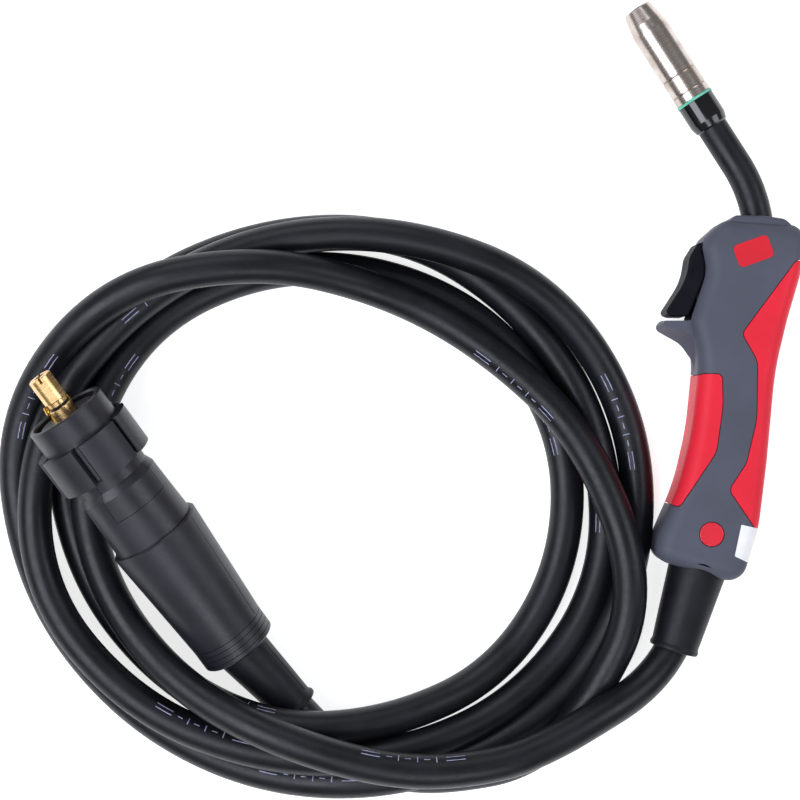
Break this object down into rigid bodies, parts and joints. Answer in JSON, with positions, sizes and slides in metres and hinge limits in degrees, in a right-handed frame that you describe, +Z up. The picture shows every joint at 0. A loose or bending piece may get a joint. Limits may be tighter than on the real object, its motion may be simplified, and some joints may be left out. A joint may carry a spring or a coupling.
{
  "type": "mig welding torch",
  "caption": "Gas-cooled MIG torch: conical gas nozzle on a short swan neck, pistol handle with lever trigger, coaxial cable in a loose coil and a machine plug with coupling nut.",
  "frame": {"origin": "centre of the gun's footprint, on the surface that the torch lies on", "axes": "+Z up from the surface, +Y along the gun from the cable boot to the muzzle, +X towards the back of the handle; the gun lies on its side"},
  "size_m": [0.4054, 0.3984, 0.083],
  "materials": {
    "shell_grey": "fine matt grain",
    "grip_red": "soft satin",
    "trigger_black": "satin",
    "jacket_black": "satin",
    "insulator_black": "gloss",
    "washer_teal": "satin",
    "nickel": "polished plate",
    "brass": "machined",
    "copper": "drawn",
    "steel": "zinc plate",
    "plug_black": "fine matt grain",
    "cable_black": "extruded satin",
    "sticker_white": "film",
    "badge_red": "film",
    "gold": "gold plate"
  },
  "bodies": {
    "torch": {"handle_shell_upper": "shell_grey", "handle_shell_lower": "shell_grey", "nose_ring": "shell_grey", "grip_rear_upper": "grip_red", "grip_rear_lower": "grip_red", "grip_front_upper": "grip_red", "grip_front_lower": "grip_red", "cap": "grip_red", "badge": "badge_red", "sticker": "sticker_white", "handle_screws": "steel", "neck_jacket": "jacket_black", "neck_conductor": "copper", "neck_block": "brass", "neck_insulator": "insulator_black", "insulator_washer": "washer_teal", "tip_holder": "brass", "tip_ferrule": "brass", "contact_tip": "copper", "nozzle_spring": "steel", "trigger_pin": "steel", "microswitch": "trigger_black", "power_hose": "jacket_black", "cable_sheath": "cable_black", "switch_leads": "jacket_black", "gun_boot": "jacket_black", "plug_face": "plug_black", "plug_pin": "brass", "seal_ring": "jacket_black", "liner_nut": "brass", "plug_housing_front": "plug_black", "plug_housing_rear": "plug_black", "plug_boot": "jacket_black", "plug_cable_end": "cable_black", "cable_coil": "cable_black", "cable_lead": "cable_black", "cable_tail": "cable_black"},
    "nozzle": {"gas_nozzle": "nickel"},
    "trigger": {"trigger": "trigger_black"},
    "plunger": {"switch_plunger": "grip_red"},
    "nut": {"coupling_nut": "plug_black"},
    "pin_a": {"control_pin_a": "gold"},
    "pin_b": {"control_pin_b": "gold"}
  },
  "joints": [
    {"name": "trigger_squeeze", "type": "hinge", "parent": "torch", "child": "trigger", "pos_m": [-0.0015, 0.039, 0.018], "axis": [0, 0, 1], "range_deg": [0, 4.5], "stiffness_Nm_per_rad": 2, "springref_deg": -2.86},
    {"name": "plunger_press", "type": "slide", "parent": "torch", "child": "plunger", "axis": [0.9703, -0.2419, 0], "range_m": [0, 0.0014]},
    {"name": "nozzle_pull", "type": "slide", "parent": "torch", "child": "nozzle", "axis": [-0.5402, 0.8415, 0], "range_m": [0, 0.055]},
    {"name": "nut_turn", "type": "hinge", "parent": "torch", "child": "nut", "pos_m": [-0.30445, -0.05613, 0.05766], "axis": [0.5426, -0.7963, -0.2672], "continuous": true},
    {"name": "pin_a_press", "type": "slide", "parent": "torch", "child": "pin_a", "axis": [0.5426, -0.7963, -0.2672], "range_m": [0, 0.003], "stiffness_N_per_m": 600, "springref_m": -0.002},
    {"name": "pin_b_press", "type": "slide", "parent": "torch", "child": "pin_b", "axis": [0.5426, -0.7963, -0.2672], "range_m": [0, 0.003], "stiffness_N_per_m": 600, "springref_m": -0.002}
  ],
  "couplings": [
    {"joint": "plunger_press", "follows": "trigger_squeeze", "m_per_rad": 0.0168}
  ]
}
